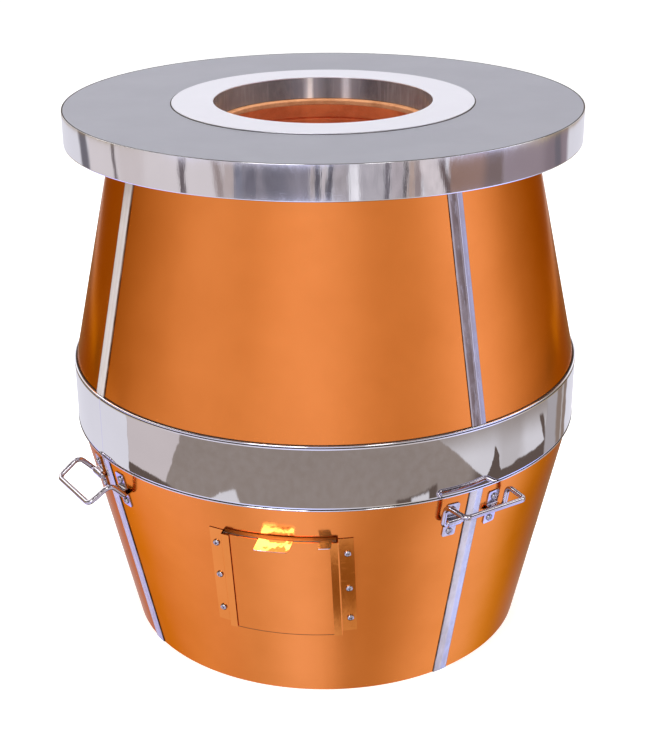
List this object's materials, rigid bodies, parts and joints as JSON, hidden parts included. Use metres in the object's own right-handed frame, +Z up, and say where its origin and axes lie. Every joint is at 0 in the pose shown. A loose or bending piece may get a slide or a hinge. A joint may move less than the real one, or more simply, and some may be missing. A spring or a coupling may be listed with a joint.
{
  "type": "barrel tandoor",
  "caption": "Round floor-standing clay oven in a copper barrel with a steel waist band and worktop, an open mouth, a sliding draught door and swinging carrying handles.",
  "frame": {"origin": "middle of the base, on the floor", "axes": "+Z up along the axis of the barrel and out of the mouth; the draught door faces -Y; +X to the right seen from the door's side"},
  "size_m": [0.818, 0.8337, 0.8595],
  "materials": {
    "mild_steel": "dark zinc-painted sheet and angle",
    "copper": "warm satin copper sheet",
    "polished_copper": "mirror-polished copper strip",
    "polished_steel": "mirror-polished stainless steel",
    "brushed_steel": "fine matte brushed stainless steel",
    "bright_brushed_steel": "pale brushed stainless steel",
    "strap_steel": "satin stainless steel strip",
    "handle_steel": "polished steel rod",
    "bracket_steel": "pressed steel",
    "screw_steel": "plated steel",
    "clay": "unglazed red clay",
    "mortar": "pale terracotta mortar",
    "fire_brick": "fire brick",
    "cast_iron": "black cast iron",
    "fibre_blanket": "white fibre blanket"
  },
  "bodies": {
    "drum": {"base_plate": "mild_steel", "base_ring": "mild_steel", "waist_hoop": "mild_steel", "top_support_ring": "mild_steel", "draught_duct": "mild_steel", "lower_panel_right": "copper", "lower_panel_rear": "copper", "lower_panel_left": "copper", "lower_panel_front": "copper", "upper_panel_right": "copper", "upper_panel_rear": "copper", "upper_panel_left": "copper", "upper_panel_front": "copper", "draught_seal": "copper", "door_guide_left": "polished_copper", "door_guide_right": "polished_copper", "waist_band": "polished_steel", "rim_hoop": "polished_steel", "mouth_collar": "polished_steel", "top_plate": "brushed_steel", "mouth_ring": "bright_brushed_steel", "lower_strap_front_right": "strap_steel", "lower_strap_rear_right": "strap_steel", "lower_strap_rear_left": "strap_steel", "lower_strap_front_left": "strap_steel", "upper_strap_front_right": "strap_steel", "upper_strap_rear_right": "strap_steel", "upper_strap_rear_left": "strap_steel", "upper_strap_front_left": "strap_steel", "bracket_front_right_left": "bracket_steel", "bracket_front_right_right": "bracket_steel", "bracket_rear_right_left": "bracket_steel", "bracket_rear_right_right": "bracket_steel", "bracket_rear_left_left": "bracket_steel", "bracket_rear_left_right": "bracket_steel", "bracket_front_left_left": "bracket_steel", "bracket_front_left_right": "bracket_steel", "guide_screws": "screw_steel", "bracket_screws": "screw_steel", "clay_pot": "clay", "pot_foot": "clay", "pot_cheeks": "clay", "pot_lintel": "clay", "pot_neck": "clay", "mortar_ring": "mortar", "hearth_slab": "fire_brick", "charcoal_grate": "cast_iron", "lower_blanket": "fibre_blanket", "upper_blanket": "fibre_blanket"},
    "door": {"door_panel": "copper", "door_pull_tab": "polished_copper", "door_stop_tab": "polished_steel"},
    "bail_front_right": {"handle_front_right": "handle_steel"},
    "bail_rear_right": {"handle_rear_right": "handle_steel"},
    "bail_rear_left": {"handle_rear_left": "handle_steel"},
    "bail_front_left": {"handle_front_left": "handle_steel"}
  },
  "joints": [
    {"name": "door_slide", "type": "slide", "parent": "drum", "child": "door", "axis": [0, -0.2101, 0.9777], "range_m": [0, 0.15]},
    {"name": "bail_front_right_swing", "type": "hinge", "parent": "drum", "child": "bail_front_right", "pos_m": [0.27298, -0.29273, 0.31057], "axis": [0.7314, 0.682, 0], "range_deg": [0, 130]},
    {"name": "bail_rear_right_swing", "type": "hinge", "parent": "drum", "child": "bail_rear_right", "pos_m": [0.29273, 0.27298, 0.31057], "axis": [-0.682, 0.7314, 0], "range_deg": [0, 130]},
    {"name": "bail_rear_left_swing", "type": "hinge", "parent": "drum", "child": "bail_rear_left", "pos_m": [-0.27298, 0.29273, 0.31057], "axis": [-0.7314, -0.682, 0], "range_deg": [0, 130]},
    {"name": "bail_front_left_swing", "type": "hinge", "parent": "drum", "child": "bail_front_left", "pos_m": [-0.29273, -0.27298, 0.31057], "axis": [0.682, -0.7314, 0], "range_deg": [-31, 99]}
  ]
}
